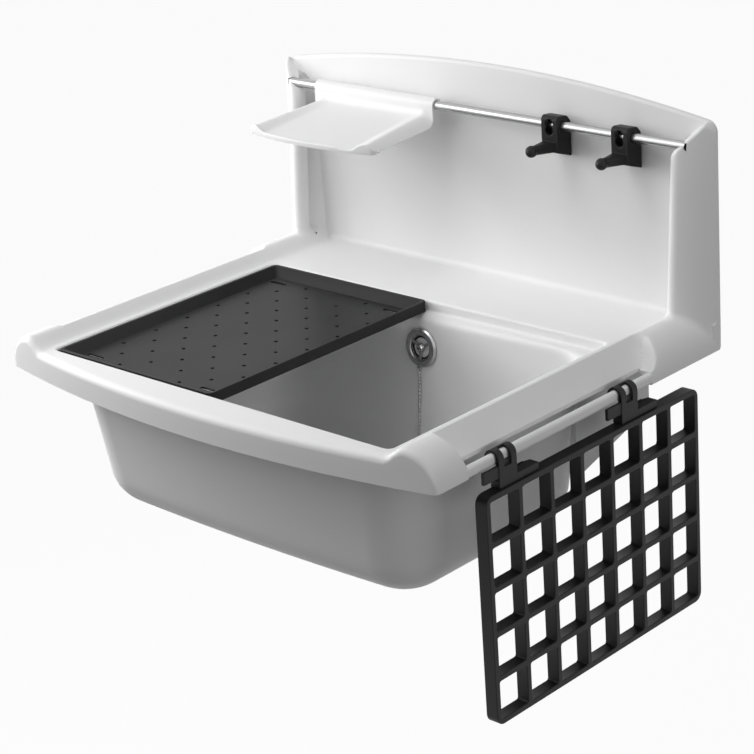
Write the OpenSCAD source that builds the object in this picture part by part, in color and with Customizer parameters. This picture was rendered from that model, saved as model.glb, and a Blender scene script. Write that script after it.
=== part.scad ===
// Wall-hung mop service sink: one moulding with a bowl, a rim with raised side rails, a domed
// splashback and two fins that carry a steel rail. A soap tray and two coat hooks ride on the rail, a
// drainer tray lies in the bowl's rebate, and a grating hangs from a bar in the right rim.
// X runs along the wall, the wall is the plane Y = 0, and Z = 0 is the level of the deck.

/* [Rim] */
// Overall width along the wall
sink_w = 600; // [560:5:660]
// Depth from the wall to the rim's front corners
corner_depth = 443; // [430:1:480]
// How far the rim's front edge bows out beyond its corners
front_bow = 33; // [10:1:50]
// Height of the rim's outer lip
lip_h = 30; // [28:1:40]
// Wall thickness of the moulding
wall = 5; // [4:0.5:6]
// Radius of the rim's front corners in plan
rim_corner_r = 8; // [6:1:16]
// Width of the raised rail along each side of the rim
hump_w = 55; // [50:1:60]
// Height of the raised side rails above the deck
hump_h = 12; // [6:1:16]

/* [Bowl] */
// Clear width of the opening in the deck
opening_w = 476; // [440:2:480]
// Distance from the wall to the front edge of the opening
opening_front = 435; // [420:1:436]
// Distance from the wall to the rear edge of the opening
opening_rear = 109; // [100:1:115]
// Depth of the rebate that the drainer tray lies in
rebate_d = 12; // [10:1:16]
// Depth of the bowl below the deck, to its underside
bowl_h = 184; // [160:2:220]
// Distance from the wall to the bowl's front wall, at deck level
bowl_front = 428.4; // [424:0.2:430]
// Distance from the wall to the bowl's rear wall, at deck level
bowl_rear = 117.6; // [116:0.2:122]
// Inward lean of the side walls, as a slope
side_taper = 0.088; // [0.05:0.002:0.12]
// Inward lean of the front wall, as a slope
front_taper = 0.127; // [0.08:0.001:0.15]
// Inward lean of the rear wall, as a slope
rear_taper = 0.114; // [0.08:0.001:0.14]
// How far the front wall bulges at the middle
bowl_bow = 6; // [2:0.5:8]
// Plan radius of the bowl's upright corners
bowl_corner_r = 55; // [45:1:65]
// Radius round the bowl's bottom edge
bowl_foot_r = 48; // [36:1:52]

/* [Splashback] */
// Height of the splashback at the middle of its dome
splash_h = 237; // [225:1:260]
// How much lower the dome is at its ends
splash_drop = 26; // [15:1:35]
// Radius of the splashback's top corners
splash_corner_r = 10; // [6:1:14]
// Distance from the middle to the inner face of each fin
fin_in = 247.5; // [244:0.5:250]
// Distance from the middle to the centre of each fin's round nose
fin_nose_x = 268; // [266:0.5:270]
// How far the centre of each fin's round nose stands off the wall, at deck level
fin_nose_y = 32; // [30:0.5:36]
// Radius of each fin's round nose
fin_nose_r = 9; // [8:0.5:11]
// How far each fin's nose leans back to the wall, as a slope
fin_lean = 0.066; // [0:0.002:0.08]
// Radius along the trimmed top edge of each fin
fin_edge_r = 5; // [4:0.5:6]

/* [Rail] */
// Diameter of the steel rail
rail_d = 10; // [9:0.5:11]
// Distance of the rail's axis from the wall
rail_y = 20.5; // [20:0.25:22]
// Height of the rail's axis above the deck
rail_z = 188; // [184:1:190]

/* [Soap tray] */
// Length of the soap tray along its front
soap_w = 188; // [150:2:190]
// Place of the soap tray's middle along the rail
soap_x = -144; // [-145:1:-120]
// Distance from the wall to the front of the soap tray
soap_front = 141; // [120:1:150]
// How much shorter the soap tray is along the rail, at each end
soap_taper = 5; // [2:1:8]
// Wall thickness of the soap tray
soap_wall = 2.4; // [2:0.2:3]

/* [Hooks] */
// Width of a coat hook along the rail
hook_w = 21; // [16:1:24]
// Place of the left hook's middle along the rail
hook_x1 = 109.5; // [100:0.5:120]
// Distance between the two hooks
hook_pitch = 91; // [80:1:96]
// Reach of a hook's ball in front of the wall
hook_reach = 61; // [52:1:70]
// Diameter of the ball at the end of a hook
hook_ball_d = 12.5; // [11:0.5:16]

/* [Drainer tray] */
// Width of the drainer tray
tray_w = 231.5; // [200:0.5:234]
// Gap between the drainer tray and the edges of the opening
tray_gap = 1.5; // [0.5:0.5:3]
// Thickness of the drainer tray's skin
tray_wall = 2; // [1.6:0.2:3]
// Diameter of the drainer tray's round holes
tray_hole_d = 4.2; // [3:0.2:6]
// Distance between the columns of holes, along the wall
tray_pitch_x = 22.8; // [20:0.2:24]
// Distance between the rows of holes, square to the wall
tray_pitch_y = 23.05; // [20:0.05:24]

/* [Grating] */
// Number of cells along the grating
grid_nx = 7; // [4:1:7]
// Number of cells down the grating
grid_nz = 5; // [3:1:6]
// Clear width of a cell
grid_cell = 40.4; // [36:0.2:42]
// Width of the bars between the cells
grid_bar = 6.2; // [5:0.2:7]
// Thickness of the grating
grid_t = 14.5; // [10:0.5:15]
// Distance from the wall to the front edge of the grating
grid_front = 385; // [380:1:388]
// Depth of the grating's top edge below the deck
grid_top = 52; // [50:1:56]

/* [Side slots] */
// Distance from the wall to the front end of each side slot
slot_front = 396; // [386:1:400]
// Distance from the wall to the rear end of each side slot
slot_rear = 118; // [110:1:128]
// Thickness of the bar outside each slot
bar_t = 8; // [7:0.5:9]
// Height of the bar outside each slot
bar_h = 12; // [10:0.5:13]
// Clear width of each slot
slot_w = 6.5; // [5:0.5:7]

/* [Grating clips] */
// Width of a clip's saddle along the bar
clip_w = 26; // [20:1:30]
// Distance from the wall to the front edge of the front clip
clip_front = 361; // [355:1:365]
// Gap between a clip's saddle and the bar that it turns on
clip_gap = 0.3; // [0.2:0.1:0.6]
// Thickness of a clip's saddle
clip_t = 2.8; // [2.4:0.2:3]

/* [Waste and overflow] */
// Distance from the wall to the waste's axis
waste_y = 232; // [226:1:250]
// Inside diameter of the waste
waste_bore_d = 38; // [34:1:42]
// Outside diameter of the waste's tail
waste_tail_d = 40; // [40:1:50]
// Length of the plain tail below the waste's body
waste_tail_l = 30; // [25:1:34]
// Depth of the overflow's centre below the deck
overflow_z = 48; // [44:1:54]
// Diameter of the overflow's rosette
rosette_d = 43; // [38:1:46]
// Outside diameter of the overflow hose
hose_d = 22; // [18:1:24]
// Diameter of the balls of the plug's chain
ball_d = 3.2; // [2.4:0.2:3.4]
// Distance between the balls of the plug's chain
ball_pitch = 4; // [3.6:0.1:4.4]

/* [Fixing] */
// Distance between the two wall bolts
bolt_spacing = 280; // [240:5:360]
// Diameter of the wall bolt holes
bolt_hole_d = 11; // [9:0.5:12]

/* [Hidden] */
$fn = 64;
eps = 0.01;
white = [0.93, 0.93, 0.93];
black = [0.13, 0.13, 0.13];
steel = [0.75, 0.76, 0.78];
rubber = [0.2, 0.2, 0.2];

// Rim and deck
half = sink_w / 2;
rim_front = corner_depth + front_bow;
bow_r = (half * half + front_bow * front_bow) / (2 * front_bow);
crest_x = half - hump_w * 0.62;
rise_x = half - hump_w;
opening_half = opening_w / 2;
opening_r = 6;
ledge_t = wall;
bolt_z = -lip_h / 2;
boss_r = bolt_hole_d / 2 + 8;

// Side slots and the bars outside them
bar_x = half - bar_t / 2;
bar_z = bar_h / 2 - lip_h + 0.5;
bar_top = bar_z + bar_h / 2;
slot_in = half - bar_t - slot_w;
pocket_r = 5;
pocket_lip_z = bar_top - 3;
pocket_rise = hump_h + 3 - bar_top;
pocket_front_lean = 0.36;
pocket_rear_lean = 0.57;

// Splashback and fins
splash_r = (half * half + splash_drop * splash_drop) / (2 * splash_drop);
deck_fillet = 7;
fin_trim = [-0.607, -0.281, 0.744];
fin_trim_z = rail_z - 14;
fin_trim_x = fin_in + 8.5;
fin_trim_y = 31;
fin_bulge_x = half - 14.5;
fin_core_z = fin_trim_z - 18;
fin_skin = min(wall, fin_edge_r - 1);
rail_mouth_d = rail_d + 2.2;
rail_seat_x = fin_trim_x + 21;
rail_mouth_l = 16;
rail_half = rail_seat_x - 0.3;
rail_wall = 1;

// Bowl
wall_lean = atan(rear_taper);
bowl_inner_z = wall - bowl_h;
foot_z = bowl_foot_r - bowl_h;
foot_x = side_x(foot_z) - bowl_foot_r / cos(atan(side_taper));
foot_front_y = front_y(foot_z) + bowl_foot_r / cos(atan(front_taper));
foot_y = rear_y(foot_z) - bowl_foot_r / cos(wall_lean);
skirt_y0 = 48;
skirt_z0 = 91;
skirt_slope = 0.29;
drain_pad_r = 42;
drain_seat_d = 3;

// Drainer tray
tray_x0 = 3 - opening_half;
tray_y0 = tray_gap - opening_front;
tray_y1 = -opening_rear - tray_gap;
tray_rim = 3;
tray_slant = 14;
tray_floor_t = tray_wall;

// Soap tray
slide_gap = 0.3;
soap_back_y = rail_y + rail_d / 2 + slide_gap;
soap_half = soap_w / 2;
soap_floor_z = rail_z - 13;
soap_front_z = rail_z - 25;
soap_ridge_h = 8;
soap_slope = 22;
soap_lean = 8;
soap_rear_lean = 15;
soap_bow = 11;

// Grating and clips
grid_in = half + 8 - grid_t;
grid_pitch = grid_cell + grid_bar;
grid_l = grid_nx * grid_pitch + grid_bar;
grid_h = grid_nz * grid_pitch + grid_bar;
clip_r = bar_h / 2 + clip_gap;
clip_pitch = 4 * grid_pitch;

// Overflow and chain
rosette_t = 3;
elbow_y = 104;
elbow_drop = 30;
hose_z = bowl_h + 21;
hose_bend = 30;
hose_in_r = hose_d / 2 - 2;
inlet_y = waste_y - 35;
chain_y = bowl_rear + wall + 16;

overflow_neck_r = 13;
elbow_l = 29;
screw_r = 2.5;
eye_r = 2.2;
wire_r = 0.6;

// Waste, with the heights of its seat, seals and flanges
drain_bore_r = waste_bore_d / 2;
drain_neck_r = drain_bore_r + 3;
drain_flange_r = 35;
seat_z = bowl_inner_z - drain_seat_d;
seal_t = 1;
lap = 0.05;
flange_z = seat_z + seal_t + 2 * lap;
flange_t = 2.4;
web_z = flange_z - 10;
pad_z = -bowl_h - drain_seat_d;
waste_seal_t = 2;
waste_z = pad_z - waste_seal_t - 2 * lap;
waste_r = drain_neck_r + 5;
tail_z = waste_z - 34;
drain_screw_r = 3;
plug_top = flange_z + flange_t + lap;
plug_eye_z = plug_top + 5.5;
plug_ring_r = 5;

// Chain: plumb from its upper eye, down the rear wall, round the foot and along the floor
ball_r = ball_d / 2;
chain_clear = ball_r + 0.3;
chain_z0 = wall_point(-rosette_d / 2 - 1.6 - eye_r, rosette_t + 0.6)[1] - eye_r;
chain_y0 = wall_point(-rosette_d / 2 - 1.6 - eye_r, rosette_t + 0.6)[0];
chain_touch_z = (chain_y0 + chain_clear - inner_rear_y(0)) / rear_taper;
chain_foot_r = bowl_foot_r - wall - chain_clear;
chain_foot_z = foot_z - chain_foot_r * sin(wall_lean);
ring_end_y = -waste_y + 2 * plug_ring_r;
chain_ramp = drain_flange_r + 4 - 2 * plug_ring_r - eye_r;
chain_plumb = chain_z0 - chain_touch_z;
chain_wall = (chain_touch_z - chain_foot_z) / cos(wall_lean);
chain_arc = chain_foot_r * (90 - wall_lean) * PI / 180;
chain_floor = foot_y - ring_end_y - eye_r - chain_ramp;
chain_l = chain_plumb + chain_wall + chain_arc + chain_floor + chain_ramp;
chain_n = floor(chain_l / ball_pitch);

// Y and Z of the point v up the bowl's rear wall from the overflow's centre, and h in front of it
function wall_point(v, h) = [inner_rear_y(-overflow_z) + v * sin(wall_lean) - h * cos(wall_lean),
                             v * cos(wall_lean) + h * sin(wall_lean) - overflow_z];

// Outer surfaces of the bowl's walls at height z, and the inside of the rear one
function side_x(z) = opening_half + wall + side_taper * z;
function front_y(z) = -bowl_front - front_taper * z;
function rear_y(z) = -bowl_rear + rear_taper * z;
function inner_rear_y(z) = rear_y(z) - wall / cos(wall_lean);

// Y and Z of the chain's centre line at the distance s along it
function chain_at(s) =
    s < chain_plumb ? [chain_y0, chain_z0 - s] :
    s < chain_plumb + chain_wall ?
        let (t = s - chain_plumb)
        [chain_y0 - t * sin(wall_lean), chain_touch_z - t * cos(wall_lean)] :
    s < chain_plumb + chain_wall + chain_arc ?
        let (a = -wall_lean - (s - chain_plumb - chain_wall) / chain_foot_r * 180 / PI)
        [foot_y + chain_foot_r * cos(a), foot_z + chain_foot_r * sin(a)] :
    let (t = s - chain_plumb - chain_wall - chain_arc,
         rise = plug_eye_z - foot_z + chain_foot_r)
        [foot_y - t, foot_z - chain_foot_r + rise * max(0, t - chain_floor) / chain_ramp];

// Points of an arc about (cx, cy)
function arc(cx, cy, r, a0, a1, n) =
    [for (i = [0:n]) let (a = a0 + (a1 - a0) * i / n) [cx + r * cos(a), cy + r * sin(a)]];

function unit2(v) = v / norm(v);

// Points round one corner q, with q[2] as its radius, between its neighbours p and s
function corner(p, q, s, n) =
    let (o = [q[0], q[1]], r = q[2])
    r <= 0 ? [o] :
    let (u = unit2([p[0], p[1]] - o),
         v = unit2([s[0], s[1]] - o),
         half_angle = acos(max(-1, min(1, u * v))) / 2,
         reach = r / tan(half_angle),
         c = o + unit2(u + v) * r / sin(half_angle),
         a = o + u * reach - c,
         b = o + v * reach - c,
         a0 = atan2(a[1], a[0]),
         turn = atan2(b[1], b[0]) - a0,
         sweep = turn > 180 ? turn - 360 : turn < -180 ? turn + 360 : turn)
    [for (i = [0:n]) c + r * [cos(a0 + sweep * i / n), sin(a0 + sweep * i / n)]];

// A closed outline whose points [x, y, r] have their corners rounded to r
function rounded(pts, n = 6) =
    let (k = len(pts))
    [for (i = [0:k - 1]) each corner(pts[(i + k - 1) % k], pts[i], pts[(i + 1) % k], n)];

function box_outline(x0, y0, x1, y1, r) = [[x0, y0, r], [x1, y0, r], [x1, y1, r], [x0, y1, r]];

// Extrudes an outline drawn in Y and Z along X, from x0 to x1
module along_x(x0, x1) {
    translate([x0, 0, 0])
        rotate([90, 0, 90])
            linear_extrude(x1 - x0)
                children();
}

// Extrudes an outline drawn in X and Z along Y, from y0 to y1
module along_y(y0, y1) {
    translate([0, y1, 0])
        rotate([90, 0, 0])
            linear_extrude(y1 - y0)
                children();
}

// ---- the moulding ----

// Plan of the rim, drawn in by d on every side
module rim_plan(d) {
    front = [for (i = [0:24])
        let (x = (half - d) * (i / 12 - 1))
        [x, rim_front_y(x, d), i == 0 || i == 24 ? rim_corner_r - d : 0]];
    polygon(rounded(concat(front, [[half - d, -d, 0], [d - half, -d, 0]])));
}

// Y of the rim's bowed front edge at x, drawn in by d
function rim_front_y(x, d) = bow_r - rim_front - sqrt(pow(bow_r - d, 2) - x * x);

// Right half of the rim's section across the sink, drawn in by d
function rim_half(d, foot) = concat(
    [for (i = [0:6])
        [rise_x + (crest_x - rise_x) * i / 6, hump_h * (1 - cos(30 * i)) / 2 - d]],
    [for (i = [8:-1:0])
        [crest_x + (half - crest_x - d) * cos(i * 10), (hump_h + lip_h - d) * sin(i * 10) - lip_h]],
    [[half - d, foot]]);

function mirrored(pts) = [for (i = [len(pts) - 1:-1:0]) [-pts[i][0], pts[i][1]]];

module rim_body(d, foot) {
    side = rim_half(d, foot);
    intersection() {
        translate([0, 0, foot])
            linear_extrude(hump_h + 2 - foot)
                rim_plan(d);
        along_y(-rim_front - 1, 1)
            polygon(concat(side, mirrored(side)));
    }
}

// The pocket cut into the outside of a side rail, grown by g for the space under its skin
module pocket(g) {
    intersection() {
        along_y(-rim_front, 0)
            polygon([[crest_x - g, hump_h + 2], [slot_in - g, pocket_lip_z - g / 3],
                     [slot_in - g, bar_top - g * 3], [half + 2, bar_top - g * 3],
                     [half + 2, hump_h + 2]]);
        along_x(rise_x, half + 3)
            polygon(rounded([[-slot_front - 1 - g, bar_top - g * 3 - eps, pocket_r],
                             [-slot_rear + 1 + g, bar_top - g * 3 - eps, pocket_r],
                             [-slot_rear + 1 + g + pocket_rear_lean * pocket_rise, hump_h + 3, 0],
                             [-slot_front - 1 - g - pocket_front_lean * pocket_rise, hump_h + 3, 0]]));
    }
}

// The side slot with the room round its bar
module slot_cut() {
    translate([slot_in, -slot_front, -lip_h - 1])
        cube([slot_w + bar_t + 2, slot_front - slot_rear, bar_top + lip_h + 1 + eps]);
}

// The bar that the grating's clips turn on
module slot_bar() {
    along_y(-slot_front - 2, 2 - slot_rear)
        polygon(rounded(box_outline(bar_x - bar_t / 2, bar_z - bar_h / 2,
                                    bar_x + bar_t / 2, bar_z + bar_h / 2, bar_t / 2 - 0.1), 5));
}

// The bowl's outer form, or with d its inside: leaning walls, round corners and a round foot
module bowl_form(d, top) {
    bulge = [-2, -1, 0, 1, 2];
    hull() {
        for (s = [-1, 1], row = [0, 1]) {
            translate([s * (side_x(0) - bowl_corner_r),
                       row == 0 ? front_y(0) + bowl_corner_r : rear_y(0) - bowl_corner_r, top - eps])
                cylinder(r = bowl_corner_r - d + side_taper * top, h = eps, $fn = 32);
            translate([s * foot_x, row == 0 ? foot_front_y : foot_y, foot_z])
                sphere(r = bowl_foot_r - d, $fn = 32);
        }
        for (k = bulge) {
            dx = k * foot_x / 3;
            dy = -bowl_bow * (1 - k * k / 9);
            translate([dx, front_y(0) + bowl_corner_r + dy, top - eps])
                cylinder(r = bowl_corner_r - d, h = eps, $fn = 32);
            translate([dx, foot_front_y + dy, foot_z])
                sphere(r = bowl_foot_r - d, $fn = 32);
        }
    }
}

// Side webs that stand behind the bowl, under the deck
module skirt() {
    y1 = bowl_rear + 50;
    along_x(side_x(0) - wall - 2, side_x(0) - 2)
        polygon([[-skirt_y0, -1], [-skirt_y0, -skirt_z0],
                 [-y1, -skirt_z0 - skirt_slope * (y1 - skirt_y0)], [-y1, -1]]);
}

// Height of the fin's slanting trim plane over the point p
function fin_top(p) = fin_trim_z
    - (fin_trim[0] * (p[0] - fin_trim_x) + fin_trim[1] * (p[1] + fin_trim_y)) / fin_trim[2];

// Centres of the rounded corners of a fin's plan at height z: its root, nose, bulge and outer edge
function fin_spots(z) =
    let (r = fin_edge_r, y = fin_lean * z - fin_nose_y)
    concat([[fin_in + r, 0]], arc(fin_nose_x, y, fin_nose_r - r, 195, 300, 4),
           [[fin_bulge_x, y * 0.65 - 1], [half - r, 0]]);

// One fin, or with d its hollow: an upright blade with a round nose, trimmed aslant
module fin_form(d, low, high) {
    r = fin_edge_r;
    hull() {
        for (p = fin_spots(low))
            translate([p[0], p[1], low])
                cylinder(r = r - d, h = eps, $fn = 24);
        for (p = fin_spots(min(high, fin_trim_z)))
            translate([p[0], p[1], min(high, fin_top(p) - r / fin_trim[2])])
                sphere(r = r - d, $fn = 24);
    }
}

// The splashback: a disc's segment, whose rim is the dome with its rounded front edge
module splashback() {
    intersection() {
        along_y(-wall - 1, 1)
            polygon(rounded([[-half, -lip_h, 0], [half, -lip_h, 0],
                             [half, splash_h - splash_drop, splash_corner_r],
                             [0, splash_h + splash_drop / 2, 0],
                             [-half, splash_h - splash_drop, splash_corner_r]]));
        translate([0, 0, splash_h - splash_r])
            rotate([90, 0, 0])
                rotate_extrude($fn = 720)
                    polygon(concat([[splash_r / 2, 0]],
                                   arc(splash_r - wall + 0.5, 0, wall - 0.5, 0, 90, 6),
                                   [[splash_r - wall, wall], [splash_r / 2, wall]]));
    }
}

module one_side() {
    children();
    mirror([1, 0, 0])
        children();
}

module sink_moulding() {
    color(white)
    difference() {
        union() {
            difference() {
                rim_body(0, -lip_h);
                one_side()
                    pocket(0);
                difference() {
                    rim_body(wall, -lip_h - 1);
                    one_side()
                        pocket(wall);
                }
                one_side()
                    slot_cut();
            }
            one_side() {
                slot_bar();
                skirt();
                fin_form(0, 1 - lip_h, splash_h - splash_drop - fin_edge_r - splash_corner_r / 2);
                translate([bolt_spacing / 2, 0, bolt_z])
                    rotate([90, 0, 0])
                        cylinder(r = boss_r, h = wall + 3);
            }
            splashback();
            along_x(-fin_in - deck_fillet, fin_in + deck_fillet)
                polygon(concat([[-wall + 1, -1], [-wall + 1, deck_fillet]],
                               arc(-wall - deck_fillet, deck_fillet, deck_fillet, 0, -90, 6),
                               [[-wall - deck_fillet, -1]]));
            translate([-side_x(0), -opening_front - ledge_t, -rebate_d - ledge_t])
                cube([2 * side_x(0), opening_front - opening_rear + 2 * ledge_t, rebate_d + ledge_t]);
            bowl_form(0, 0);
            translate([0, -waste_y, -bowl_h - drain_seat_d])
                cylinder(r = drain_pad_r, h = wall);
        }
        // the room behind the wall plane
        translate([-sink_w, 0, -bowl_h])
            cube([2 * sink_w, sink_w, bowl_h + splash_h]);
        one_side() {
            fin_form(fin_skin, -lip_h - 1, fin_core_z);
            translate([fin_in, -rail_y, rail_z])
                rotate([0, 90, 0])
                    cylinder(d = rail_mouth_d, h = rail_mouth_l + fin_trim_x - fin_in);
            translate([fin_in, -rail_y, rail_z])
                rotate([0, 90, 0])
                    cylinder(d = rail_d + 0.1, h = rail_seat_x - fin_in);
            translate([bolt_spacing / 2, 1, bolt_z])
                rotate([90, 0, 0])
                    cylinder(d = bolt_hole_d, h = wall + 5);
        }
        translate([0, 0, -rebate_d])
            linear_extrude(rebate_d + hump_h)
                polygon(rounded(box_outline(-opening_half, -opening_front,
                                            opening_half, -opening_rear, opening_r)));
        bowl_form(wall, -1);
        on_rear_wall()
            translate([0, 0, -2 * wall])
                cylinder(r = overflow_neck_r + 0.3, h = 4 * wall);
        translate([0, -waste_y, bowl_inner_z - drain_seat_d])
            cylinder(r = drain_flange_r + 1, h = drain_seat_d + 1);
        translate([0, -waste_y, -bowl_h - 10])
            cylinder(r = drain_neck_r + 0.5, h = bowl_h);
    }
}

// ---- the rail and what rides on it ----

module rail_rod(d, x0, x1) {
    translate([x0, -rail_y, rail_z])
        rotate([0, 90, 0])
            cylinder(d = d, h = x1 - x0);
}

module steel_rail() {
    color(steel)
    difference() {
        rail_rod(rail_d, -rail_half, rail_half);
        rail_rod(rail_d - 2 * rail_wall, -rail_half - 1, rail_half + 1);
    }
}

// Plan of the soap tray, whose front edge is bowed
module soap_plan() {
    edge = [for (i = [0:12])
        let (x = soap_half * (i / 6 - 1))
        [x, soap_bow * pow(x / soap_half, 2) - soap_front, i == 0 || i == 12 ? 5 : 0]];
    back = soap_half - soap_taper;
    polygon(rounded(concat(edge, [[back, 1 - soap_back_y, 0], [-back, 1 - soap_back_y, 0]])));
}

// A slice of the right ridge at y, drawn in by d: skirt out to x, ridge and the slope to the floor
module ridge_slice(x, y, low, high, floor_z, lean, d) {
    translate([0, y, 0])
        rotate([90, 0, 0])
            linear_extrude(eps)
                polygon([[x - d, low - (d > 0 ? 1 : 0)], [x - lean - d / 2, high - d],
                         [x - lean - 2 + d / 2, high - d],
                         [x - soap_slope - lean / 3 + d, floor_z - d],
                         [x - soap_slope - lean / 3 + d, low - (d > 0 ? 1 : 0)]]);
}

module soap_ridge(d) {
    hull() {
        ridge_slice(soap_half, -soap_front, soap_front_z - soap_wall, soap_front_z + soap_ridge_h,
                    soap_front_z, soap_lean, d);
        ridge_slice(soap_half - soap_taper, -soap_back_y, soap_floor_z - 10, soap_floor_z + soap_ridge_h - 4,
                    soap_floor_z, soap_rear_lean, d);
    }
}

module soap_tray() {
    hook_back = rail_y - rail_d / 2 - slide_gap;
    hook_top = rail_z + rail_d / 2 + slide_gap;
    floor_x = soap_half - soap_taper - soap_slope - 2;
    color(white)
    translate([soap_x, 0, 0]) {
        // the dish: a sloping floor, side ridges that turn down into a skirt, and a front bead
        intersection() {
            translate([0, 0, soap_front_z - 10])
                linear_extrude(soap_floor_z)
                    soap_plan();
            union() {
                one_side()
                    difference() {
                        soap_ridge(0);
                        soap_ridge(soap_wall);
                    }
                along_x(-floor_x, floor_x)
                    polygon([[-soap_back_y, soap_floor_z - soap_wall],
                             [-soap_front, soap_front_z - soap_wall],
                             [-soap_front, soap_front_z], [-soap_back_y, soap_floor_z]]);
                difference() {
                    translate([0, 0, soap_front_z - soap_wall])
                        linear_extrude(soap_wall + 2)
                            soap_plan();
                    translate([0, 3, soap_front_z - soap_wall - 1])
                        linear_extrude(soap_wall + 4)
                            soap_plan();
                    translate([floor_x - 10, -soap_front, soap_front_z - 0.5])
                        cube([12, 30, 5]);
                }
            }
        }
        // the back plate and its hook over the rail
        along_x(soap_taper - soap_half, soap_half - soap_taper)
            polygon([[-soap_back_y - soap_wall, soap_floor_z - 10], [-soap_back_y, soap_floor_z - 10],
                     [-soap_back_y, hook_top], [-hook_back, hook_top],
                     [-hook_back, hook_top - 9], [soap_wall - hook_back, hook_top - 9],
                     [soap_wall - hook_back, hook_top + soap_wall],
                     [-soap_back_y - soap_wall, hook_top + soap_wall]]);
    }
}

module coat_hook(x) {
    y0 = -rail_y - rail_d / 2 - 5.5;
    y1 = 0.5 - wall - 3;
    foot = rail_z - 35;
    ball = [-hook_reach, rail_z - 19];
    color(black)
    translate([x, 0, 0]) {
        difference() {
            along_x(-hook_w / 2, hook_w / 2)
                polygon(rounded([[y0, rail_z + 12, 5], [y0, foot + 8, 2], [y1, foot, 1],
                                 [y1, rail_z + 3, 6], [y1 - 6, rail_z + 10, 6]]));
            rail_rod(rail_d + 2 * slide_gap, -hook_w, hook_w);
            translate([-hook_w, -rail_y, rail_z - rail_d / 2 - slide_gap])
                cube([2 * hook_w, rail_y, rail_d / 2 + slide_gap]);
            translate([0, y0 - 1, 0])
                rotate([-90, 0, 0])
                    for (z = [-4, 3])
                        translate([0, -rail_z - z, 0])
                            cylinder(d = 10, h = rail_d);
        }
        hull() {
            translate([-hook_w / 2 + 2, y0 + 1, foot + 9])
                cube([hook_w - 4, 1, 10]);
            translate([0, ball[0] + hook_ball_d / 3, ball[1]])
                sphere(d = hook_ball_d - 2.5, $fn = 24);
        }
        translate([0, ball[0], ball[1]])
            sphere(d = hook_ball_d);
    }
}

module hook_left() {
    coat_hook(hook_x1);
}

module hook_right() {
    coat_hook(hook_x1 + hook_pitch);
}

// Plan of the drainer tray's opening at depth z below its rim, drawn in by d
module tray_plan(d, r) {
    polygon(rounded(box_outline(tray_x0 + d, tray_y0 + d, tray_x0 + tray_w - d, tray_y1 - d, r), 4));
}

// The drainer tray's dish, or with g the same grown by the thickness of the skin
module tray_dish(g) {
    hull() {
        translate([0, 0, g > 0 ? -tray_wall : eps])
            linear_extrude(eps)
                tray_plan(tray_rim - g + (g > 0 ? 0.6 : 0), 4);
        translate([0, 0, tray_floor_t - rebate_d - g])
            linear_extrude(eps)
                tray_plan(tray_slant - g, 5);
    }
}

module drainer_tray() {
    cx = tray_x0 + tray_w / 2;
    cy = (tray_y0 + tray_y1) / 2;
    slot_l = 24;
    slot_r = 2.5;
    color(black)
    difference() {
        translate([0, 0, -rebate_d])
            linear_extrude(rebate_d)
                tray_plan(0, opening_r);
        tray_dish(0);
        // the hollow between the upright wall and the slanting one
        difference() {
            translate([0, 0, -rebate_d - 1])
                linear_extrude(rebate_d + 1 - tray_wall)
                    tray_plan(tray_wall, opening_r - tray_wall);
            tray_dish(tray_wall);
        }
        for (i = [-4:4]) {
            rows = i % 4 == 0 ? [-4:2:4] : i % 2 == 0 ? [-6:2:6] : [-5:2:5];
            for (k = rows)
                translate([cx + i * tray_pitch_x, cy + k * tray_pitch_y, -rebate_d - 1])
                    cylinder(d = tray_hole_d, h = tray_floor_t + 2, $fn = 24);
        }
        for (sx = [-1, 1], sy = [-1, 1])
            translate([cx + sx * 3.8 * tray_pitch_x, cy + sy * 5.9 * tray_pitch_y, -rebate_d - 1])
                linear_extrude(tray_floor_t + 2)
                    polygon(rounded(box_outline(-slot_l / 2, -slot_r, slot_l / 2, slot_r, slot_r - 0.1)));
    }
}

// ---- the grating and its clips ----

module side_grating() {
    r = 10;
    color(black)
    translate([0, -grid_front, -grid_top])
        difference() {
            along_x(grid_in, grid_in + grid_t)
                polygon(rounded(box_outline(0, -grid_h, grid_l, 0, r)));
            for (i = [0:grid_nx - 1], k = [0:grid_nz - 1])
                along_x(grid_in - 1, grid_in + grid_t + 1)
                    translate([grid_bar + i * grid_pitch, -(k + 1) * grid_pitch])
                        polygon(rounded(box_outline(0, 0, grid_cell, grid_cell, 2), 2));
        }
}

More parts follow.
